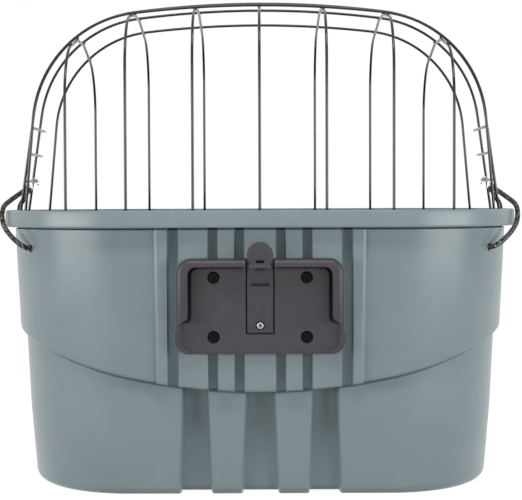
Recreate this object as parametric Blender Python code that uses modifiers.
"""Dog basket for a bicycle: a moulded tub with a wire dome and a handlebar adapter plate.

Metres, +Z up. The origin is the middle of the tub's underside, and the handlebar side faces -Y.
"""
import math

import bmesh
import bpy
from mathutils import Matrix, Vector

# Clearances shared by all the pieces
SEAT_GAP = 0.0003
WELD_GAP = 0.00035
CUT_OVERRUN = 0.002

# Tub outline: a straight front and back with quarter ellipse ends
RIM_HEIGHT = 0.250
PLAN_FLAT = 0.115
WALL = 0.0032
FLOOR_THICKNESS = 0.006
FLOOR_FILLET = 0.005
FOOT_EDGE_RADIUS = 0.008
WAIST_HEIGHT_SHARE = 0.7234
UPPER_END_DRAFT = 0.0045
UPPER_SIDE_DRAFT = 0.0037
LOWER_END_DRAFT = 0.0035
LOWER_SIDE_DRAFT = 0.0023
FOOT_DRAFT = 0.0050

# Rim band, stepped out from the upper wall
BAND_HEIGHT = 0.0165
BAND_HALF_WIDTH = 0.240
BAND_HALF_DEPTH = 0.140
BAND_END_STEP = 0.0095
BAND_SIDE_STEP = 0.0105
BAND_EDGE = 0.0012

# Curved ledge between the upper and the lower wall
LEDGE_FALL = 0.156
LEDGE_ARC_RADIUS = 0.548
LEDGE_STEP = 0.0055
LEDGE_DROP = 0.0012
LEDGE_NOSE_RISE = 0.0012
LEDGE_NOSE_INSET = 0.0022
LEDGE_RISE = 0.0065

# Upright panel with flutes above the ledge
PANEL_RISE = 0.0010
PANEL_HALF_WIDTH = 0.093
PANEL_SIDE = 0.003
GROOVE_CENTRES = (0.0185, 0.04025, 0.07425)
GROOVE_HALF_WIDTH = 0.0044
GROOVE_DEPTH = 0.0045
GROOVE_SIDE = 0.0012
RIB_THICKENING = 0.0024

# Recesses below the ledge, wider towards the floor
RECESS_DEPTH = 0.008
RECESS_SIDE = 0.0024
RECESS_LIFT = 0.0024
RECESS_LIFT_REACH = 0.022
MIDDLE_RECESS_HALF_TOP = 0.0130
MIDDLE_RECESS_HALF_FOOT = 0.0172
OUTER_RECESS_CENTRE = 0.0565
OUTER_RECESS_HALF_TOP = 0.0117
OUTER_RECESS_HALF_FOOT = 0.0150

# Wire dome
WIRE_DIAMETER = 0.0025
RING_WIRE_DIAMETER = 0.003
RING_SIDE_PLAY = 0.0028
RING_END_PLAY = 0.0053
LEG_PLACE_SHARES = (0.0, 0.2505, 0.501, 0.735)
LEG_BEND_RADIUS = 0.052
MIDDLE_HOOP_PLACE = 0.023
MIDDLE_HOOP_RISE = 0.191
MIDDLE_HOOP_LEAN_SHARE = 0.144
MIDDLE_HOOP_CROWN_HALF = 0.116
MIDDLE_HOOP_CROWN_DROP = 0.0074
END_HOOP_PLACE = 0.072
END_HOOP_RISE = 0.183
END_HOOP_LEAN_SHARE = 0.090
END_HOOP_CROWN_HALF = 0.112
END_HOOP_CROWN_DROP = 0.0065
RAIL_RISES = (0.027, 0.052, 0.076)
RAIL_HALF_LENGTH = 0.037

# Elastic cords with their knots and hooks
CORD_DIAMETER = 0.0045
CORD_HOLE_DIAMETER = 0.007
CORD_HOLE_INSET = 0.025
CORD_HOLE_DROP = 0.034
CORD_END_REACH = 0.0041
KNOT_DIAMETER = 0.011
HOOK_PLACE = 0.016
HOOK_WIRE_DIAMETER = 0.0022
HOOK_PLAY = 0.0004
HOOK_TIP = 0.003
HOOK_SHANK = 0.0065
EYE_CLEARANCE = 0.00035
EYE_OPENING_DEG = 52

# Route of the right cord, from the near hole over the band to the hook's eye and back to the far hole
CORD_ROUTE = (
    (0.2022, -0.0769, 0.2160), (0.2055, -0.0792, 0.2160), (0.2100, -0.0816, 0.2172),
    (0.2160, -0.0793, 0.2206), (0.2225, -0.0716, 0.2252), (0.2287, -0.0625, 0.2303),
    (0.2337, -0.0550, 0.2365), (0.2361, -0.0492, 0.2430), (0.2367, -0.0445, 0.2492),
    (0.2357, -0.0390, 0.2543), (0.2327, -0.0290, 0.2586), (0.2294, -0.0175, 0.2625),
    (0.2263, -0.0050, 0.2663), (0.2241, 0.0070, 0.2691), (0.22326, 0.0160, 0.2701),
    (0.2242, 0.0245, 0.2690), (0.2275, 0.0325, 0.2652), (0.2316, 0.0395, 0.2598),
    (0.2356, 0.0440, 0.2543), (0.2367, 0.0463, 0.2488), (0.2359, 0.0497, 0.2430),
    (0.2337, 0.0550, 0.2365), (0.2287, 0.0625, 0.2303), (0.2225, 0.0716, 0.2252),
    (0.2160, 0.0793, 0.2206), (0.2100, 0.0816, 0.2172), (0.2055, 0.0792, 0.2160),
    (0.2022, 0.0769, 0.2160))

# Adapter plate on the handlebar side
PLATE_HALF_WIDTH = 0.0712
PLATE_DROP = 0.0413
PLATE_HEIGHT = 0.0819
PLATE_CORNER = 0.012
PLATE_EAR_REACH = 0.0015
PLATE_EAR_HEIGHT = 0.0175
PLATE_BASE = 0.006
PLATE_DEPTH = 0.018
PLATE_SIDE_WALL = 0.0035
PLATE_LIP_THICKNESS = 0.0035
PLATE_SIDE_LIP = 0.0096
PLATE_TOP_LIP = 0.0069
PLATE_LIP_END_RISE = 0.027
PLATE_LIP_END_RUN = 0.008
PLATE_LOW_WALL = 0.009
PLATE_INNER_CORNER = 0.007

# Release tongue in the adapter plate
TONGUE_HALF_WIDTH = 0.0118
TONGUE_LOW_RISE = 0.0174
TONGUE_THICKNESS = 0.0026
TONGUE_SIDE_GAP = 0.0006
TONGUE_BACK_GAP = 0.0006
TONGUE_FREE_RISE = 0.0087
TONGUE_RISER_HEIGHT = 0.0079
TONGUE_SET_BACK = 0.0012
TAB_RADIUS = 0.0112
TAB_RISE = 0.0033
TAB_THICKNESS = 0.003
WINDOW_HALF_WIDTH = 0.0033
WINDOW_HEIGHT = 0.0022
WINDOW_DROP = 0.0014
WINDOW_DEPTH = 0.005
FOOT_NOTCH_HEIGHT = 0.0011
CRESCENT_HALF_WIDTH = 0.0090
CRESCENT_DROP = 0.0237
CRESCENT_RISE = 0.0040
CRESCENT_DEPTH = 0.0008
PIVOT_RISE = 0.0071

# Fasteners
SCREW_PLACE = 0.040
SCREW_LOW_RISE = 0.0144
SCREW_SPACING = 0.0512
SCREW_DIAMETER = 0.005
SCREW_HOLE_DIAMETER = 0.0057
SCREW_HEAD_DIAMETER = 0.0092
SCREW_HEAD_HEIGHT = 0.0026
SCREW_HEAD_ROUND = 0.0008
COUNTERBORE_DIAMETER = 0.011
COUNTERBORE_DEPTH = 0.0035
CROSS_WIDTH_SHARE = 0.17
CROSS_LENGTH_SHARE = 0.62
CROSS_DEPTH_SHARE = 0.5
SCREW_POINT_STICKOUT = 0.0015
SMALL_SCREW_DIAMETER = 0.003
SMALL_SCREW_HOLE_DIAMETER = 0.0038
SMALL_SCREW_HEAD_DIAMETER = 0.0059
SMALL_SCREW_HEAD_HEIGHT = 0.0018
SMALL_SCREW_HEAD_GAP = 0.00035
WASHER_DIAMETER = 0.010
WASHER_THICKNESS = 0.001
NUT_ACROSS_FLATS = 0.008
NUT_THICKNESS = 0.004
BACKING_MARGIN = 0.0125
BACKING_CORNER = 0.006
BACKING_THICKNESS = 0.0025

# How finely round shapes are cut
CORNER_STEPS = 12
EDGE_STEPS = 3
BEND_STEPS = 8
CROWN_STEPS = 4
RING_STEPS = 14
OUTLINE_STEPS = 6
BACKING_CORNER_STEPS = 4
ROUTE_STEPS = 2
WIRE_SIDES_RESOLUTION = 2
ROUND_SIDES = 16
BORE_SIDES = 20
NUT_SIDES = 6
KNOT_SIDES = 12
KNOT_ROWS = 8
SMOOTH_ANGLE_DEG = 35
WELD_DISTANCE = 0.000001
TURN_MERGE = 0.00001

PARTS_COLLECTION = "dog_bicycle_basket"
CUTTERS_COLLECTION = "cutters"

# Half widths and half depths of the tub's wall, from the band down to the foot
UPPER_TOP_HALF_WIDTH = BAND_HALF_WIDTH - BAND_END_STEP
UPPER_TOP_HALF_DEPTH = BAND_HALF_DEPTH - BAND_SIDE_STEP
UPPER_FOOT_HALF_WIDTH = UPPER_TOP_HALF_WIDTH - UPPER_END_DRAFT
UPPER_FOOT_HALF_DEPTH = UPPER_TOP_HALF_DEPTH - UPPER_SIDE_DRAFT
LOWER_TOP_HALF_WIDTH = UPPER_FOOT_HALF_WIDTH - LEDGE_STEP
LOWER_TOP_HALF_DEPTH = UPPER_FOOT_HALF_DEPTH - LEDGE_STEP
WAIST_HALF_WIDTH = LOWER_TOP_HALF_WIDTH - LOWER_END_DRAFT
WAIST_HALF_DEPTH = LOWER_TOP_HALF_DEPTH - LOWER_SIDE_DRAFT
FOOT_HALF_WIDTH = WAIST_HALF_WIDTH - FOOT_DRAFT
FOOT_HALF_DEPTH = WAIST_HALF_DEPTH - FOOT_DRAFT

# Places that several pieces share
LEDGE_HEIGHT = RIM_HEIGHT - LEDGE_FALL
WAIST_HEIGHT = WAIST_HEIGHT_SHARE * LEDGE_HEIGHT
CORD_HOLE_PLACE = UPPER_TOP_HALF_WIDTH - CORD_HOLE_INSET
PANEL_FACE = UPPER_TOP_HALF_DEPTH + PANEL_RISE
SHELF_HEIGHT = RIM_HEIGHT - BAND_HEIGHT + WALL
CORD_HOLE_HEIGHT = RIM_HEIGHT - CORD_HOLE_DROP
RING_HALF_WIDTH = BAND_HALF_WIDTH - WALL - RING_END_PLAY - RING_WIRE_DIAMETER / 2
RING_HALF_DEPTH = BAND_HALF_DEPTH - WALL - RING_SIDE_PLAY - RING_WIRE_DIAMETER / 2
RAIL_HEIGHTS = tuple(RIM_HEIGHT + rise for rise in RAIL_RISES)
PLATE_HIGH = RIM_HEIGHT - PLATE_DROP
PLATE_LOW = PLATE_HIGH - PLATE_HEIGHT
PLATE_LIP_END = PLATE_LOW + PLATE_LIP_END_RISE
PLATE_BACK = -(PANEL_FACE + SEAT_GAP)
TRAY_FLOOR = PLATE_BACK - PLATE_BASE
PLATE_FRONT = PLATE_BACK - PLATE_DEPTH
TONGUE_LOW = PLATE_LOW + TONGUE_LOW_RISE
TONGUE_BACK = TRAY_FLOOR + TONGUE_THICKNESS
TONGUE_FRONT = PLATE_FRONT + TONGUE_SET_BACK
PIVOT_HEIGHT = TONGUE_LOW + PIVOT_RISE
RISER_LOW = PLATE_HIGH - TONGUE_RISER_HEIGHT
SCREW_HEIGHTS = (PLATE_LOW + SCREW_LOW_RISE, PLATE_LOW + SCREW_LOW_RISE + SCREW_SPACING)
RIDGE_FACE = -(PANEL_FACE - GROOVE_DEPTH - WALL)
BACKING_FRONT = RIDGE_FACE + SEAT_GAP
BACKING_BACK = BACKING_FRONT + BACKING_THICKNESS
WASHER_FRONT = BACKING_BACK + SEAT_GAP
NUT_FRONT = WASHER_FRONT + WASHER_THICKNESS + SEAT_GAP
NUT_CORNER_RADIUS = NUT_ACROSS_FLATS / 2 / math.cos(math.pi / NUT_SIDES)
RING_HEIGHT = SHELF_HEIGHT + SEAT_GAP + RING_WIRE_DIAMETER / 2
WIRE_FOOT = SHELF_HEIGHT + SEAT_GAP
WIRE_PITCH = WIRE_DIAMETER + WELD_GAP
RING_PITCH = (RING_WIRE_DIAMETER + WIRE_DIAMETER) / 2 + WELD_GAP


def clear_scene():
    """Remove every object of the file."""
    for item in list(bpy.data.objects):
        bpy.data.objects.remove(item, do_unlink=True)


def new_collection(name):
    """A collection of that name under the scene."""
    collection = bpy.data.collections.new(name)
    bpy.context.scene.collection.children.link(collection)
    return collection


def material(name, colour, roughness, metallic=0.0):
    """A Principled material with one colour."""
    made = bpy.data.materials.new(name)
    made.use_nodes = True
    shader = made.node_tree.nodes["Principled BSDF"]
    shader.inputs["Base Color"].default_value = (*colour, 1.0)
    shader.inputs["Roughness"].default_value = roughness
    shader.inputs["Metallic"].default_value = metallic
    made.diffuse_color = (*colour, 1.0)
    return made


def link(item, collection):
    """Put an object in one collection."""
    collection.objects.link(item)
    return item


def mesh_object(name, mesh, collection):
    """An object that holds this mesh."""
    return link(bpy.data.objects.new(name, mesh), collection)


def bmesh_object(name, shape, collection):
    """An object made from a bmesh, which is then freed."""
    mesh = bpy.data.meshes.new(name)
    shape.to_mesh(mesh)
    shape.free()
    return mesh_object(name, mesh, collection)


def baked(item):
    """Replace an object by the mesh that its curve and modifiers give, with its doubles merged."""
    graph = bpy.context.evaluated_depsgraph_get()
    graph.update()
    mesh = bpy.data.meshes.new_from_object(item.evaluated_get(graph))
    shape = bmesh.new()
    shape.from_mesh(mesh)
    bmesh.ops.transform(shape, matrix=item.matrix_world, verts=shape.verts)
    bmesh.ops.remove_doubles(shape, verts=shape.verts, dist=WELD_DISTANCE)
    bmesh.ops.recalc_face_normals(shape, faces=shape.faces)
    name = item.name
    collection = item.users_collection[0]
    bpy.data.objects.remove(item, do_unlink=True)
    return bmesh_object(name, shape, collection)


def hide_cutter(item):
    """Show a cutter as a wire and leave it out of renders."""
    item.hide_render = True
    item.display_type = "WIRE"
    return item


def boolean(item, other, operation):
    """Cut an object by another, or join the other to it."""
    modifier = item.modifiers.new(operation.lower(), "BOOLEAN")
    modifier.operation = operation
    modifier.solver = "EXACT"
    modifier.object = hide_cutter(other)


def box(name, low, high, collection):
    """A box between two corners."""
    shape = bmesh.new()
    bmesh.ops.create_cube(shape, size=1.0)
    size = Vector(high) - Vector(low)
    middle = (Vector(high) + Vector(low)) / 2
    bmesh.ops.transform(shape, matrix=Matrix.Translation(middle) @ Matrix.Diagonal((*size, 1.0)),
                        verts=shape.verts)
    return bmesh_object(name, shape, collection)


def rod(name, start, end, diameter, collection, sides=ROUND_SIDES):
    """A round rod between two points."""
    start = Vector(start)
    end = Vector(end)
    axis = end - start
    turn = axis.to_track_quat("Z", "Y").to_matrix().to_4x4()
    shape = bmesh.new()
    bmesh.ops.create_cone(shape, cap_ends=True, segments=sides, radius1=diameter / 2,
                          radius2=diameter / 2, depth=axis.length)
    bmesh.ops.transform(shape, matrix=Matrix.Translation((start + end) / 2) @ turn, verts=shape.verts)
    return bmesh_object(name, shape, collection)


def wire(name, points, diameter, collection, closed=False):
    """A round wire along a row of points."""
    curve = bpy.data.curves.new(name, "CURVE")
    curve.dimensions = "3D"
    curve.bevel_depth = diameter / 2
    curve.bevel_resolution = WIRE_SIDES_RESOLUTION
    curve.use_fill_caps = not closed
    spline = curve.splines.new("POLY")
    spline.points.add(len(points) - 1)
    for place, point in zip(spline.points, points):
        place.co = (*point, 1.0)
    spline.use_cyclic_u = closed
    return baked(link(bpy.data.objects.new(name, curve), collection))


def flat_solid(name, outlines, front, thickness, collection):
    """A flat piece that stands in the XZ plane, from its front face towards +Y."""
    curve = bpy.data.curves.new(name, "CURVE")
    curve.dimensions = "2D"
    curve.fill_mode = "BOTH"
    curve.extrude = thickness / 2
    for outline in outlines:
        spline = curve.splines.new("POLY")
        spline.points.add(len(outline) - 1)
        for place, point in zip(spline.points, outline):
            place.co = (point[0], point[1], 0.0, 1.0)
        spline.use_cyclic_u = True
    item = link(bpy.data.objects.new(name, curve), collection)
    item.location = (0.0, front + thickness / 2, 0.0)
    item.rotation_euler = (math.radians(90), 0.0, 0.0)
    bpy.context.view_layer.update()
    return baked(item)


def turned(name, profile, place, collection, steps=ROUND_SIDES):
    """A turned piece with its axis along -Y through a place: profile pairs are radius and reach."""
    shape = bmesh.new()
    points = [shape.verts.new((radius, 0.0, reach)) for radius, reach in profile]
    for first, second in zip(points, points[1:]):
        shape.edges.new((first, second))
    item = bmesh_object(name, shape, collection)
    screw = item.modifiers.new("turn", "SCREW")
    screw.steps = steps
    screw.render_steps = steps
    screw.use_merge_vertices = True
    screw.merge_threshold = TURN_MERGE
    item.location = place
    item.rotation_euler = (math.radians(90), 0.0, 0.0)
    bpy.context.view_layer.update()
    return baked(item)


def shade(item):
    """Shade an object smooth but for its sharp edges."""
    item.data.shade_smooth()
    item.data.set_sharp_from_angle(angle=math.radians(SMOOTH_ANGLE_DEG))
    return item


def finish(item, finish_material, collection):
    """Bake a part, shade it and give it its material, its collection and its final name."""
    made = shade(baked(item))
    for old in list(made.users_collection):
        old.objects.unlink(made)
    collection.objects.link(made)
    made.data.name = made.name
    made.data.materials.clear()
    made.data.materials.append(finish_material)
    return made


def put_origin(item, origin):
    """Move an object's origin to a point and leave its shape where it is."""
    item.data.transform(Matrix.Translation(-Vector(origin)))
    item.location = origin
    return item


def filleted(points, radii, steps=BEND_STEPS):
    """A row of points with its inner corners rounded by these radii."""
    corners = [Vector(point) for point in points]
    made = [corners[0]]
    for before, corner, after, radius in zip(corners, corners[1:], corners[2:], radii):
        if radius == 0:
            made.append(corner)
            continue
        back = (before - corner).normalized()
        ahead = (after - corner).normalized()
        turn = math.pi - back.angle(ahead)
        reach = radius * math.tan(turn / 2)
        start = corner + back * reach
        middle = corner + (back + ahead).normalized() * (radius / math.cos(turn / 2))
        across = (corner + ahead * reach) - middle
        along = start - middle
        for step in range(steps + 1):
            angle = turn * step / steps
            made.append(middle + (along * math.sin(turn - angle) + across * math.sin(angle)) / math.sin(turn))
    made.append(corners[-1])
    return made


def rounded_outline(half_width, low, high, radius):
    """A rectangle with round corners, in X and Z, around X = 0."""
    outline = []
    centres = ((half_width - radius, high - radius, 0), (radius - half_width, high - radius, 90),
               (radius - half_width, low + radius, 180), (half_width - radius, low + radius, 270))
    for centre_x, centre_z, first in centres:
        for step in range(BACKING_CORNER_STEPS + 1):
            angle = math.radians(first + 90 * step / BACKING_CORNER_STEPS)
            outline.append((centre_x + radius * math.cos(angle), centre_z + radius * math.sin(angle)))
    return outline


def blend(first, second, share):
    """The value at a share of the way between two values."""
    return first + (second - first) * share


def plan_point(half_width, half_depth, angle):
    """A point of a quarter ellipse end, at an angle from the +X axis."""
    return (PLAN_FLAT + (half_width - PLAN_FLAT) * math.cos(angle), half_depth * math.sin(angle))


def plan_outline(half_width, half_depth, steps):
    """The closed plan outline of a ring, from the near left corner round by +X."""
    points = []
    for step in range(2 * steps + 1):
        points.append(plan_point(half_width, half_depth, math.pi * (step / (2 * steps) - 0.5)))
    return points + [(-x, -y) for x, y in points]


def ledge_height(x):
    """Height of the curved ledge at this X."""
    return LEDGE_HEIGHT + LEDGE_ARC_RADIUS - math.sqrt(LEDGE_ARC_RADIUS ** 2 - x ** 2)


def lower_section(z):
    """Half width and half depth of the lower wall's outside at this height."""
    if z < WAIST_HEIGHT:
        share = (z - FOOT_EDGE_RADIUS) / (WAIST_HEIGHT - FOOT_EDGE_RADIUS)
        return (blend(FOOT_HALF_WIDTH, WAIST_HALF_WIDTH, share), blend(FOOT_HALF_DEPTH, WAIST_HALF_DEPTH, share))
    share = (z - WAIST_HEIGHT) / (ledge_height(LOWER_TOP_HALF_WIDTH) - WAIST_HEIGHT)
    return (blend(WAIST_HALF_WIDTH, LOWER_TOP_HALF_WIDTH, share),
            blend(WAIST_HALF_DEPTH, LOWER_TOP_HALF_DEPTH, share))


def upper_section(z):
    """Half width and half depth of the upper wall's outside at this height."""
    share = (z - LEDGE_HEIGHT) / (RIM_HEIGHT - BAND_HEIGHT - LEDGE_HEIGHT)
    low = ledge_height(UPPER_FOOT_HALF_WIDTH)
    wide_share = (z - low) / (RIM_HEIGHT - BAND_HEIGHT - low)
    return (blend(UPPER_FOOT_HALF_WIDTH, UPPER_TOP_HALF_WIDTH, wide_share),
            blend(UPPER_FOOT_HALF_DEPTH, UPPER_TOP_HALF_DEPTH, share))


def band_section(z):
    """Half width and half depth of the rim band's outside, the same at every height."""
    return (BAND_HALF_WIDTH, BAND_HALF_DEPTH)


def upper_columns(z_share, widen):
    """Places across the fluted panel from X = 0 outwards with the face each lies on, alike at every height."""
    columns = [(0.0, "panel")]
    for centre in GROOVE_CENTRES:
        edge = GROOVE_HALF_WIDTH + widen
        columns += [(centre - edge, "panel"), (centre - edge + GROOVE_SIDE, "groove"),
                    (centre + edge - GROOVE_SIDE, "groove"), (centre + edge, "panel")]
    edge = PANEL_HALF_WIDTH - widen
    return columns + [(edge - PANEL_SIDE, "panel"), (edge, "wall"), (PLAN_FLAT, "wall")]


def wall_places(first, second, count):
    """Evenly spaced places on the plain wall between two others."""
    return [(blend(first, second, step / (count + 1)), "wall") for step in range(1, count + 1)]


def lower_columns(z_share, widen):
    """Places across the recessed lower front from X = 0 outwards, as many as the upper ones."""
    middle = blend(MIDDLE_RECESS_HALF_FOOT, MIDDLE_RECESS_HALF_TOP, z_share) + widen
    half = blend(OUTER_RECESS_HALF_FOOT, OUTER_RECESS_HALF_TOP, z_share) + widen
    inner = OUTER_RECESS_CENTRE - half
    outer = OUTER_RECESS_CENTRE + half
    middle_recess = [(0.0, "recess"), (middle - RECESS_SIDE, "recess"), (middle, "wall")]
    outer_recess = [(inner, "wall"), (inner + RECESS_SIDE, "recess"), (outer - RECESS_SIDE, "recess"),
                    (outer, "wall")]
    end = [(PLAN_FLAT, "wall")]
    spare = len(upper_columns(z_share, widen)) - len(middle_recess + outer_recess + end)
    return (middle_recess + wall_places(middle, inner, spare // 2) + outer_recess
            + wall_places(outer, PLAN_FLAT, spare - spare // 2) + end)


def plain_columns(z_share, widen):
    """The same places as the upper ones, all on the plain wall."""
    return [(x, "wall") for x, _ in upper_columns(z_share, widen)]


def front_depth(face, half_depth, inset):
    """Distance from the middle plane to this face of the front."""
    if face == "panel":
        return PANEL_FACE - inset
    if face == "groove":
        return PANEL_FACE - GROOVE_DEPTH - inset
    if face == "recess":
        return half_depth - RECESS_DEPTH
    return half_depth


def tub_ring(height_at, section, columns_at, inset, widen=0.0):
    """One closed row of points round the tub, seen from above against the clock."""
    columns = columns_at(min(height_at(0.0) / LEDGE_HEIGHT, 1.0), widen)
    front = []
    for x, face in columns:
        z = height_at(x)
        half_depth = section(z)[1] - inset
        front.append(Vector((x, -front_depth(face, half_depth, inset), z)))
    corner = []
    for step in range(1, 2 * CORNER_STEPS):
        angle = math.pi * (step / (2 * CORNER_STEPS) - 0.5)
        z = height_at(plan_point(UPPER_FOOT_HALF_WIDTH, UPPER_FOOT_HALF_DEPTH, angle)[0])
        half_width, half_depth = section(z)
        corner.append(Vector((*plan_point(half_width - inset, half_depth - inset, angle), z)))
    left = [Vector((-point.x, point.y, point.z)) for point in reversed(front[1:])]
    near_half = left + front + corner
    return near_half + [Vector((-point.x, -point.y, point.z)) for point in near_half]


def level(z):
    """A height that is the same at every X."""
    return lambda x: z


def along_ledge(rise):
    """A height that follows the ledge."""
    return lambda x: ledge_height(x) + rise


def tub_rings():
    """All rows of the tub's skin: up its outside, over the rim and down its inside."""
    rings = []
    for step in range(EDGE_STEPS + 1):
        angle = math.radians(90) * step / EDGE_STEPS
        z = FOOT_EDGE_RADIUS * (1 - math.cos(angle))
        rings.append(tub_ring(level(z), lower_section, lower_columns, FOOT_EDGE_RADIUS * (1 - math.sin(angle))))
    band_low = RIM_HEIGHT - BAND_HEIGHT
    rings += [
        tub_ring(level(WAIST_HEIGHT), lower_section, lower_columns, 0.0),
        tub_ring(along_ledge(-LEDGE_DROP), lower_section, lower_columns, 0.0),
        tub_ring(along_ledge(LEDGE_NOSE_RISE), upper_section, upper_columns, LEDGE_NOSE_INSET),
        tub_ring(along_ledge(LEDGE_RISE), upper_section, upper_columns, 0.0),
        tub_ring(level(band_low), upper_section, upper_columns, 0.0),
        tub_ring(level(band_low), band_section, plain_columns, BAND_EDGE),
        tub_ring(level(band_low + BAND_EDGE), band_section, plain_columns, 0.0),
        tub_ring(level(RIM_HEIGHT - BAND_EDGE), band_section, plain_columns, 0.0),
        tub_ring(level(RIM_HEIGHT), band_section, plain_columns, BAND_EDGE),
        tub_ring(level(RIM_HEIGHT), band_section, plain_columns, WALL),
        tub_ring(level(SHELF_HEIGHT), band_section, plain_columns, WALL),
        tub_ring(level(SHELF_HEIGHT), upper_section, upper_columns, WALL, RIB_THICKENING),
        tub_ring(along_ledge(LEDGE_RISE + WALL), upper_section, upper_columns, WALL, RIB_THICKENING),
        tub_ring(along_ledge(WALL - LEDGE_DROP), lower_section, lower_columns, WALL, RIB_THICKENING),
        tub_ring(level(WAIST_HEIGHT), lower_section, lower_columns, WALL, RIB_THICKENING),
        tub_ring(level(FLOOR_THICKNESS + FLOOR_FILLET), lower_section, lower_columns, WALL, RIB_THICKENING),
        tub_ring(level(FLOOR_THICKNESS), lower_section, lower_columns, WALL + FLOOR_FILLET / 2, RIB_THICKENING),
    ]
    return rings


def ring_solid(name, rings, collection):
    """A closed solid over rows of points, with its first and last rows capped."""
    shape = bmesh.new()
    rows = [[shape.verts.new(point) for point in ring] for ring in rings]
    count = len(rows[0])
    for low, high in zip(rows, rows[1:]):
        for place in range(count):
            after = (place + 1) % count
            shape.faces.new((low[place], low[after], high[after], high[place]))
    shape.faces.new(list(reversed(rows[0])))
    shape.faces.new(rows[-1])
    return bmesh_object(name, shape, collection)


def cord_hole_points(side, end):
    """A cord hole's middle on the outside of the wall, and the direction out of the wall."""
    half_width, half_depth = upper_section(CORD_HOLE_HEIGHT)
    run = (CORD_HOLE_PLACE - PLAN_FLAT) / (half_width - PLAN_FLAT)
    y = half_depth * math.sqrt(1 - run ** 2)
    outward = Vector((run / (half_width - PLAN_FLAT), y / half_depth ** 2, 0.0)).normalized()
    outward = Vector((side * outward.x, end * outward.y, 0.0))
    return Vector((side * CORD_HOLE_PLACE, end * y, CORD_HOLE_HEIGHT)), outward


def make_tub(parts, cutters, plastic):
    """The moulded tub with its holes."""
    tub = ring_solid("tub", tub_rings(), parts)
    for end in (-1, 1):
        for centre, half in ((0.0, MIDDLE_RECESS_HALF_FOOT), (OUTER_RECESS_CENTRE, OUTER_RECESS_HALF_FOOT),
                             (-OUTER_RECESS_CENTRE, OUTER_RECESS_HALF_FOOT)):
            face = FOOT_HALF_DEPTH - RECESS_DEPTH
            reach = sorted((end * (face - RECESS_LIFT_REACH), end * (face + CUT_OVERRUN + RECESS_DEPTH)))
            half_cut = half - RECESS_SIDE
            notch = box("foot_notch", (centre - half_cut, reach[0], -CUT_OVERRUN),
                        (centre + half_cut, reach[1], RECESS_LIFT), cutters)
            boolean(tub, notch, "DIFFERENCE")
    for side in (-1, 1):
        for end in (-1, 1):
            place, outward = cord_hole_points(side, end)
            reach = outward * (WALL + CUT_OVERRUN)
            boolean(tub, rod("cord_hole", place - reach, place + outward * CUT_OVERRUN, CORD_HOLE_DIAMETER,
                             cutters), "DIFFERENCE")
        for height in SCREW_HEIGHTS:
            hole = rod("tub_screw_hole", (side * SCREW_PLACE, PLATE_BACK - CUT_OVERRUN, height),
                       (side * SCREW_PLACE, BACKING_FRONT + CUT_OVERRUN, height), SCREW_HOLE_DIAMETER, cutters)
            boolean(tub, hole, "DIFFERENCE")
    return finish(tub, plastic, parts)


def hoop_half(foot_x, foot_z, lean, top, crown_half, crown_drop):
    """Half of a hoop in X and Z, from its crown to its foot, with one smooth bend between them."""
    points = []
    for step in range(CROWN_STEPS + 1):
        share = step / CROWN_STEPS
        points.append(Vector((crown_half * share, top - crown_drop * share ** 2)))
    fall = 2 * crown_drop / crown_half
    crown_way = Vector((1.0, -fall)).normalized()
    side_way = Vector((lean, -1.0)).normalized()
    start = points[-1]
    corner_z = ((start.y + fall * start.x) - fall * (foot_x + lean * foot_z)) / (1 - fall * lean)
    corner = Vector((foot_x - lean * (corner_z - foot_z), corner_z))
    reach = (corner - start).length
    turn = crown_way.angle(side_way)
    radius = reach / math.tan(turn / 2)
    middle = start + Vector((crown_way.y, -crown_way.x)) * radius
    along = start - middle
    across = (corner + side_way * reach) - middle
    for step in range(1, BEND_STEPS + 1):
        angle = turn * step / BEND_STEPS
        points.append(middle + (along * math.sin(turn - angle) + across * math.sin(angle)) / math.sin(turn))
    points.append(Vector((foot_x, foot_z)))
    return points


def inset_half(points, distance):
    """Half an outline moved inwards by a distance."""
    made = []
    for place, point in enumerate(points):
        before = points[max(place - 1, 0)]
        after = points[min(place + 1, len(points) - 1)]
        way = (after - before).normalized()
        if place == 0:
            way = Vector((1.0, 0.0))
        made.append(point + Vector((way.y, -way.x)) * distance)
    return made


def height_at(points, x):
    """Height of half an outline at this distance from its middle."""
    for first, second in zip(points, points[1:]):
        if first.x <= x <= second.x:
            return blend(first.y, second.y, (x - first.x) / (second.x - first.x))
    return points[-1].y


def width_at(points, z):
    """Half width of half an outline at this height on its side."""
    for first, second in zip(points, points[1:]):
        if second.y <= z <= first.y:
            return blend(first.x, second.x, (z - first.y) / (second.y - first.y))
    return points[-1].x


def ring_place(half_width, half_depth, y):
    """Half width of the ring at this Y."""
    return PLAN_FLAT + (half_width - PLAN_FLAT) * math.sqrt(1 - (y / half_depth) ** 2)


def leg_depth(x):
    """Half depth of a leg that stands against the inside of the base ring at this X."""
    inner_depth = RING_HALF_DEPTH - RING_PITCH
    if x <= PLAN_FLAT:
        return inner_depth
    run = (x - PLAN_FLAT) / (RING_HALF_WIDTH - RING_PITCH - PLAN_FLAT)
    return inner_depth * math.sqrt(1 - run ** 2)


def middle_hoop_half():
    """Half of one of the two middle hoops, which stand inside the base ring."""
    foot = ring_place(RING_HALF_WIDTH, RING_HALF_DEPTH, MIDDLE_HOOP_PLACE) - RING_PITCH
    return hoop_half(foot, WIRE_FOOT, MIDDLE_HOOP_LEAN_SHARE, RIM_HEIGHT + MIDDLE_HOOP_RISE,
                     MIDDLE_HOOP_CROWN_HALF, MIDDLE_HOOP_CROWN_DROP)


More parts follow.
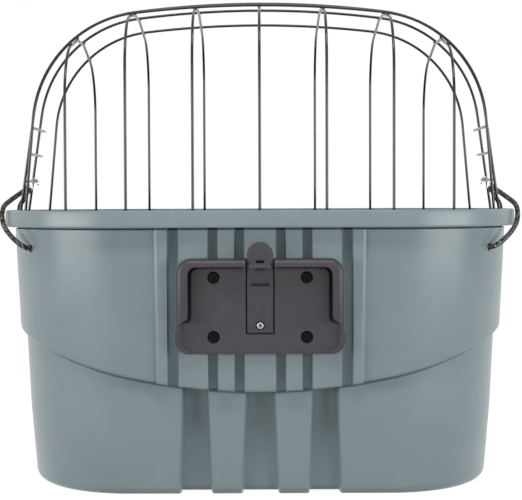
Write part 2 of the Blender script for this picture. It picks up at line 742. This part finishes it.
def end_hoop_half():
    """Half of one of the two end hoops, which stand on top of the base ring."""
    foot = ring_place(RING_HALF_WIDTH, RING_HALF_DEPTH, END_HOOP_PLACE)
    foot_z = RING_HEIGHT + RING_WIRE_DIAMETER / 2 + WELD_GAP
    return hoop_half(foot, foot_z, END_HOOP_LEAN_SHARE, RIM_HEIGHT + END_HOOP_RISE, END_HOOP_CROWN_HALF,
                     END_HOOP_CROWN_DROP)


def leg_points(x):
    """Points of one front to back leg, which runs under the hoops."""
    end_z = height_at(inset_half(end_hoop_half(), WIRE_PITCH), abs(x))
    middle_z = height_at(inset_half(middle_hoop_half(), WIRE_PITCH), abs(x))
    depth = leg_depth(abs(x))
    slope = (middle_z - end_z) / (END_HOOP_PLACE - MIDDLE_HOOP_PLACE)
    corner_z = end_z - slope * (depth - END_HOOP_PLACE)
    corners = [(x, -depth, WIRE_FOOT), (x, -depth, corner_z), (x, -MIDDLE_HOOP_PLACE, middle_z),
               (x, MIDDLE_HOOP_PLACE, middle_z), (x, depth, corner_z), (x, depth, WIRE_FOOT)]
    foot_and_bend = filleted(corners[:3], [LEG_BEND_RADIUS])[:-1]
    return foot_and_bend + [Vector(corners[2])] + [
        Vector((point.x, -point.y, point.z)) for point in reversed(foot_and_bend + [Vector(corners[2])])]


def make_dome(parts, steel):
    """The wire dome: base ring, legs, hoops and short side rails."""
    ring_points = [(x, y, RING_HEIGHT) for x, y in plan_outline(RING_HALF_WIDTH, RING_HALF_DEPTH, RING_STEPS)]
    pieces = [wire("base_ring", ring_points, RING_WIRE_DIAMETER, parts, closed=True)]
    places = sorted({side * share * RING_HALF_WIDTH for share in LEG_PLACE_SHARES for side in (-1, 1)})
    for number, x in enumerate(places, start=1):
        pieces.append(wire(f"dome_leg_{number}", leg_points(x), WIRE_DIAMETER, parts))
    hoops = ((-END_HOOP_PLACE, end_hoop_half()), (-MIDDLE_HOOP_PLACE, middle_hoop_half()),
             (MIDDLE_HOOP_PLACE, middle_hoop_half()), (END_HOOP_PLACE, end_hoop_half()))
    for number, (y, half) in enumerate(hoops, start=1):
        points = [(-point.x, y, point.y) for point in reversed(half[1:])]
        points += [(point.x, y, point.y) for point in half]
        pieces.append(wire(f"dome_hoop_{number}", points, WIRE_DIAMETER, parts))
    for side, word in ((-1, "left"), (1, "right")):
        for number, z in enumerate(RAIL_HEIGHTS, start=1):
            x = side * rail_place(z)
            ends = [(x, -RAIL_HALF_LENGTH, z), (x, RAIL_HALF_LENGTH, z)]
            pieces.append(wire(f"side_rail_{word}_{number}", ends, WIRE_DIAMETER, parts))
    return [finish(piece, steel, parts) for piece in pieces]


def rail_place(z):
    """Half width of a side rail that is welded inside the middle hoops at this height."""
    return width_at(inset_half(middle_hoop_half(), WIRE_PITCH), z)


def smooth_route(points):
    """Points along one smooth curve through the route's own points."""
    route = [Vector(point) for point in points]
    made = []
    for place in range(len(route) - 1):
        before = route[max(place - 1, 0)]
        start = route[place]
        end = route[place + 1]
        after = route[min(place + 2, len(route) - 1)]
        for step in range(ROUTE_STEPS):
            share = step / ROUTE_STEPS
            made.append(0.5 * (2 * start + (end - before) * share
                               + (2 * before - 5 * start + 4 * end - after) * share ** 2
                               + (3 * start - before - 3 * end + after) * share ** 3))
    return made + [route[-1]]


def hook_points(side):
    """Points of a wire hook: its tip, its bend over the lowest side rail, its shank and its eye."""
    rail_z = RAIL_HEIGHTS[0]
    rail_x = rail_place(rail_z)
    seat = (WIRE_DIAMETER + HOOK_WIRE_DIAMETER) / 2 + SEAT_GAP
    bend = seat + HOOK_PLAY
    bend_z = rail_z + seat - bend
    eye = (CORD_DIAMETER + HOOK_WIRE_DIAMETER) / 2 + EYE_CLEARANCE
    eye_z = bend_z - HOOK_SHANK
    points = [(rail_x - bend, bend_z - HOOK_TIP)]
    for step in range(BEND_STEPS + 1):
        angle = math.radians(180) * (1 - step / BEND_STEPS)
        points.append((rail_x + bend * math.cos(angle), bend_z + bend * math.sin(angle)))
    eye_x = rail_x + bend + eye
    sweep = math.radians(360 - EYE_OPENING_DEG)
    for step in range(2 * BEND_STEPS + 1):
        angle = math.radians(180) + sweep * step / (2 * BEND_STEPS)
        points.append((eye_x + eye * math.cos(angle), eye_z + eye * math.sin(angle)))
    return [(side * x, HOOK_PLACE, z) for x, z in points]


def make_cords(parts, braid, zinc):
    """The elastic cords with their knots inside the tub, and the hooks that they pull on."""
    pieces = []
    for side, word in ((-1, "left"), (1, "right")):
        route = [(side * x, y, z) for x, y, z in CORD_ROUTE]
        cord = wire(f"elastic_cord_{word}", smooth_route(route), CORD_DIAMETER, parts)
        pieces.append(finish(cord, braid, parts))
        for end, end_word in ((-1, "near"), (1, "far")):
            place, outward = cord_hole_points(side, end)
            middle = place - outward * (CORD_END_REACH + SEAT_GAP + KNOT_DIAMETER / 2)
            shape = bmesh.new()
            bmesh.ops.create_uvsphere(shape, u_segments=KNOT_SIDES, v_segments=KNOT_ROWS,
                                      radius=KNOT_DIAMETER / 2)
            bmesh.ops.transform(shape, matrix=Matrix.Translation(middle), verts=shape.verts)
            knot = bmesh_object(f"cord_knot_{word}_{end_word}", shape, parts)
            pieces.append(finish(knot, braid, parts))
        hook = wire(f"cord_hook_{word}", hook_points(side), HOOK_WIRE_DIAMETER, parts)
        hook = finish(hook, zinc, parts)
        pieces.append(put_origin(hook, (side * rail_place(RAIL_HEIGHTS[0]), HOOK_PLACE, RAIL_HEIGHTS[0])))
    return pieces


def mirrored(half):
    """A closed outline from its right half, whose two ends lie on X = 0 and are left out."""
    right = [(point[0], point[1]) for point in half[1:-1]]
    return right + [(-x, z) for x, z in reversed(right)]


def plate_outline():
    """Outline of the adapter plate, with a small ear at each side of its foot."""
    ear = PLATE_HALF_WIDTH + PLATE_EAR_REACH
    ear_top = PLATE_LOW + PLATE_EAR_HEIGHT
    return mirrored(filleted([(0.0, PLATE_LOW), (ear, PLATE_LOW), (ear, ear_top), (PLATE_HALF_WIDTH, ear_top),
                              (PLATE_HALF_WIDTH, PLATE_HIGH), (0.0, PLATE_HIGH)],
                             [PLATE_CORNER, 0.0, 0.0, PLATE_CORNER], OUTLINE_STEPS))


def pocket_outline():
    """The tray's inside, which is open at its foot between the two lower corners."""
    side = PLATE_HALF_WIDTH - PLATE_SIDE_WALL
    top = PLATE_HIGH - PLATE_SIDE_WALL
    low = PLATE_LOW + PLATE_SIDE_WALL
    opening = PLATE_HALF_WIDTH - PLATE_CORNER
    corner = PLATE_CORNER - PLATE_SIDE_WALL
    return mirrored(filleted([(0.0, top), (side, top), (side, low), (opening, low),
                              (opening, PLATE_LOW - CUT_OVERRUN), (0.0, PLATE_LOW - CUT_OVERRUN)],
                             [corner, corner, 0.0, 0.0], OUTLINE_STEPS))


def mouth_outline():
    """The opening inside the C shaped front lip, whose two ends are drawn outwards."""
    inner = PLATE_HALF_WIDTH - PLATE_SIDE_LIP
    top = PLATE_HIGH - PLATE_TOP_LIP
    bend = PLATE_LIP_END_RUN / 2
    end = PLATE_HALF_WIDTH - PLATE_SIDE_WALL + SEAT_GAP
    return mirrored(filleted([(0.0, top), (inner, top), (inner, PLATE_LIP_END + bend), (end, PLATE_LIP_END),
                              (end, PLATE_LIP_END - CUT_OVERRUN), (0.0, PLATE_LIP_END - CUT_OVERRUN)],
                             [PLATE_INNER_CORNER, bend, 0.0, 0.0], OUTLINE_STEPS))


def make_plate(parts, cutters, plastic):
    """The adapter plate: a tray with side walls, lips, a slot for the tongue and screw holes."""
    plate = flat_solid("adapter_plate", [plate_outline()], PLATE_FRONT, PLATE_DEPTH, parts)
    outside = PLATE_HALF_WIDTH + PLATE_EAR_REACH + CUT_OVERRUN
    boolean(plate, box("wall_step", (-outside, PLATE_FRONT - CUT_OVERRUN, PLATE_LOW - CUT_OVERRUN),
                       (outside, PLATE_BACK - PLATE_LOW_WALL, PLATE_LIP_END), cutters), "DIFFERENCE")
    lip_back = PLATE_FRONT + PLATE_LIP_THICKNESS
    boolean(plate, flat_solid("tray_pocket", [pocket_outline()], lip_back, TRAY_FLOOR - lip_back, cutters),
            "DIFFERENCE")
    boolean(plate, flat_solid("lip_mouth", [mouth_outline()], PLATE_FRONT - CUT_OVERRUN,
                              PLATE_LIP_THICKNESS + 2 * CUT_OVERRUN, cutters), "DIFFERENCE")
    slot_half = TONGUE_HALF_WIDTH + TONGUE_SIDE_GAP
    slot_low = TONGUE_LOW - TONGUE_SIDE_GAP
    slot = box("tongue_slot", (-slot_half, PLATE_FRONT - CUT_OVERRUN, slot_low),
               (slot_half, TONGUE_BACK + TONGUE_BACK_GAP, PLATE_HIGH + CUT_OVERRUN), cutters)
    boolean(plate, slot, "DIFFERENCE")
    swing = box("tongue_swing_space", (-slot_half, PLATE_FRONT - CUT_OVERRUN, PIVOT_HEIGHT + TONGUE_FREE_RISE),
                (slot_half, PLATE_BACK + CUT_OVERRUN, PLATE_HIGH + CUT_OVERRUN), cutters)
    boolean(plate, swing, "DIFFERENCE")
    bore_profile = [(0.0, CUT_OVERRUN), (COUNTERBORE_DIAMETER / 2, CUT_OVERRUN),
                    (COUNTERBORE_DIAMETER / 2, -COUNTERBORE_DEPTH), (SCREW_HOLE_DIAMETER / 2, -COUNTERBORE_DEPTH),
                    (SCREW_HOLE_DIAMETER / 2, -(PLATE_BASE + CUT_OVERRUN)), (0.0, -(PLATE_BASE + CUT_OVERRUN))]
    for side in (-1, 1):
        for height in SCREW_HEIGHTS:
            bore = turned("plate_screw_bore", bore_profile, (side * SCREW_PLACE, TRAY_FLOOR, height), cutters,
                          BORE_SIDES)
            boolean(plate, bore, "DIFFERENCE")
    boolean(plate, rod("small_screw_hole", (0.0, TRAY_FLOOR - CUT_OVERRUN, PIVOT_HEIGHT),
                       (0.0, PLATE_BACK + CUT_OVERRUN, PIVOT_HEIGHT), SMALL_SCREW_HOLE_DIAMETER, cutters),
            "DIFFERENCE")
    return finish(plate, plastic, parts)


def make_tongue(parts, cutters, plastic):
    """The spring tongue with its riser and round tab, which turns about its lower screw."""
    tab_height = PLATE_HIGH + TAB_RISE
    tongue = box("release_tongue", (-TONGUE_HALF_WIDTH, TRAY_FLOOR, TONGUE_LOW),
                 (TONGUE_HALF_WIDTH, TONGUE_BACK, PLATE_HIGH), parts)
    riser = box("tongue_riser", (-TONGUE_HALF_WIDTH, TONGUE_FRONT, RISER_LOW),
                (TONGUE_HALF_WIDTH, TONGUE_BACK - TONGUE_THICKNESS / 2, PLATE_HIGH - TONGUE_SIDE_GAP / 2), cutters)
    boolean(tongue, riser, "UNION")
    tab = rod("tongue_tab", (0.0, TONGUE_FRONT - SEAT_GAP, tab_height),
              (0.0, TONGUE_FRONT + TAB_THICKNESS, tab_height), 2 * TAB_RADIUS, cutters, 2 * ROUND_SIDES)
    boolean(tongue, tab, "UNION")
    window_high = PLATE_HIGH - WINDOW_DROP
    for low, high in ((window_high - WINDOW_HEIGHT, window_high),
                      (RISER_LOW - SEAT_GAP, RISER_LOW + FOOT_NOTCH_HEIGHT)):
        window = box("tab_window", (-WINDOW_HALF_WIDTH, TONGUE_FRONT - CUT_OVERRUN, low),
                     (WINDOW_HALF_WIDTH, TONGUE_FRONT + WINDOW_DEPTH, high), cutters)
        boolean(tongue, window, "DIFFERENCE")
    crescent_low = PLATE_HIGH - CRESCENT_DROP
    crescent = []
    for step in range(BEND_STEPS + 1):
        share = 2 * step / BEND_STEPS - 1
        crescent.append((CRESCENT_HALF_WIDTH * share, crescent_low + CRESCENT_RISE * (1 - share ** 2)))
    nick = flat_solid("tongue_crescent", [crescent], TRAY_FLOOR - CRESCENT_DEPTH, 2 * CRESCENT_DEPTH, cutters)
    boolean(tongue, nick, "DIFFERENCE")
    boolean(tongue, rod("tongue_screw_hole", (0.0, TRAY_FLOOR - CUT_OVERRUN, PIVOT_HEIGHT),
                        (0.0, TONGUE_BACK + CUT_OVERRUN, PIVOT_HEIGHT), SMALL_SCREW_HOLE_DIAMETER, cutters),
            "DIFFERENCE")
    tongue = finish(tongue, plastic, parts)
    return put_origin(tongue, (0.0, (TRAY_FLOOR + TONGUE_BACK) / 2, PIVOT_HEIGHT))


def screw_profile(head_diameter, head_height, shank_diameter, shank_length):
    """Profile of a round headed screw, from the middle of its head to its point."""
    radius = head_diameter / 2
    lip = min(SCREW_HEAD_ROUND, head_height / 2)
    return [(0.0, head_height), (radius - lip, head_height), (radius, head_height - lip), (radius, 0.0),
            (shank_diameter / 2, 0.0), (shank_diameter / 2, -shank_length), (0.0, -shank_length)]


def make_screw(name, profile, place, head_diameter, head_height, cutters, parts):
    """A turned screw with a cross recess in its head."""
    screw = turned(name, profile, place, parts)
    half_long = head_diameter * CROSS_LENGTH_SHARE / 2
    half_wide = head_diameter * CROSS_WIDTH_SHARE / 2
    face = place[1] - head_height
    floor = face + head_height * CROSS_DEPTH_SHARE
    cross = box("cross_recess", (place[0] - half_long, face - CUT_OVERRUN, place[2] - half_wide),
                (place[0] + half_long, floor, place[2] + half_wide), cutters)
    upright = box("cross_recess_upright", (place[0] - half_wide, face - CUT_OVERRUN, place[2] - half_long),
                  (place[0] + half_wide, floor, place[2] + half_long), cutters)
    boolean(screw, cross, "DIFFERENCE")
    boolean(screw, upright, "DIFFERENCE")
    return screw


def regular_outline(radius, place, sides=ROUND_SIDES):
    """A regular outline round a place in X and Z, with its corners at this radius."""
    return [(place[0] + radius * math.cos(2 * math.pi * step / sides),
             place[1] + radius * math.sin(2 * math.pi * step / sides)) for step in range(sides)]


def make_fasteners(parts, cutters, black, zinc):
    """The backing plate inside the tub, and all screws, washers and nuts."""
    backing_outline = rounded_outline(SCREW_PLACE + BACKING_MARGIN, SCREW_HEIGHTS[0] - BACKING_MARGIN,
                                      SCREW_HEIGHTS[1] + BACKING_MARGIN, BACKING_CORNER)
    backing = flat_solid("backing_plate", [backing_outline], BACKING_FRONT, BACKING_THICKNESS, parts)
    head_seat = TRAY_FLOOR + COUNTERBORE_DEPTH - SEAT_GAP
    shank_end = NUT_FRONT + NUT_THICKNESS + SCREW_POINT_STICKOUT
    profile = screw_profile(SCREW_HEAD_DIAMETER, SCREW_HEAD_HEIGHT, SCREW_DIAMETER, shank_end - head_seat)
    pieces = []
    number = 0
    for height in SCREW_HEIGHTS:
        for side in (-1, 1):
            number += 1
            centre = side * SCREW_PLACE
            boolean(backing, rod("backing_hole", (centre, BACKING_FRONT - CUT_OVERRUN, height),
                                 (centre, BACKING_BACK + CUT_OVERRUN, height), SCREW_HOLE_DIAMETER, cutters),
                    "DIFFERENCE")
            screw = make_screw(f"plate_screw_{number}", profile, (centre, head_seat, height),
                               SCREW_HEAD_DIAMETER, SCREW_HEAD_HEIGHT, cutters, parts)
            pieces.append(finish(screw, black, parts))
            bore = regular_outline(SCREW_HOLE_DIAMETER / 2, (centre, height))
            disc = regular_outline(WASHER_DIAMETER / 2, (centre, height))
            washer = flat_solid(f"plate_washer_{number}", [disc, bore], WASHER_FRONT, WASHER_THICKNESS, parts)
            pieces.append(finish(washer, zinc, parts))
            hexagon = regular_outline(NUT_CORNER_RADIUS, (centre, height), NUT_SIDES)
            nut = flat_solid(f"plate_nut_{number}", [hexagon, bore], NUT_FRONT, NUT_THICKNESS, parts)
            pieces.append(finish(nut, zinc, parts))
    pieces.append(finish(backing, zinc, parts))
    small_seat = TRAY_FLOOR - SMALL_SCREW_HEAD_GAP
    small_length = (PLATE_BACK - SEAT_GAP) - small_seat
    small = make_screw("tongue_screw", screw_profile(SMALL_SCREW_HEAD_DIAMETER, SMALL_SCREW_HEAD_HEIGHT,
                                                     SMALL_SCREW_DIAMETER, small_length),
                       (0.0, small_seat, PIVOT_HEIGHT), SMALL_SCREW_HEAD_DIAMETER, SMALL_SCREW_HEAD_HEIGHT,
                       cutters, parts)
    pieces.append(finish(small, zinc, parts))
    return pieces


def parent_to_empty(name, place, children, collection):
    """An empty at a place that carries these pieces, which stay where they are."""
    empty = link(bpy.data.objects.new(name, None), collection)
    empty.location = place
    bpy.context.view_layer.update()
    for child in children:
        child.parent = empty
        child.matrix_parent_inverse = empty.matrix_world.inverted()
    return empty


def main():
    """Build the whole basket."""
    clear_scene()
    parts = new_collection(PARTS_COLLECTION)
    cutters = new_collection(CUTTERS_COLLECTION)
    tub_plastic = material("tub_plastic", (0.223, 0.283, 0.301), 0.45)
    plate_plastic = material("plate_plastic", (0.074, 0.068, 0.077), 0.5)
    steel = material("black_steel_wire", (0.020, 0.020, 0.023), 0.3, 0.4)
    braid = material("braided_elastic", (0.030, 0.030, 0.028), 0.85)
    zinc = material("zinc_plated_steel", (0.62, 0.63, 0.66), 0.3, 1.0)
    black_screw = material("blackened_screw_steel", (0.012, 0.012, 0.012), 0.4, 0.6)

    make_tub(parts, cutters, tub_plastic)
    dome = make_dome(parts, steel)
    cords = make_cords(parts, braid, zinc)
    make_plate(parts, cutters, plate_plastic)
    make_tongue(parts, cutters, plate_plastic)
    make_fasteners(parts, cutters, black_screw, zinc)
    hooks = [piece for piece in cords if piece.name.startswith("cord_hook")]
    parent_to_empty("dome_lift", (0.0, 0.0, SHELF_HEIGHT), dome + hooks, parts)


main()
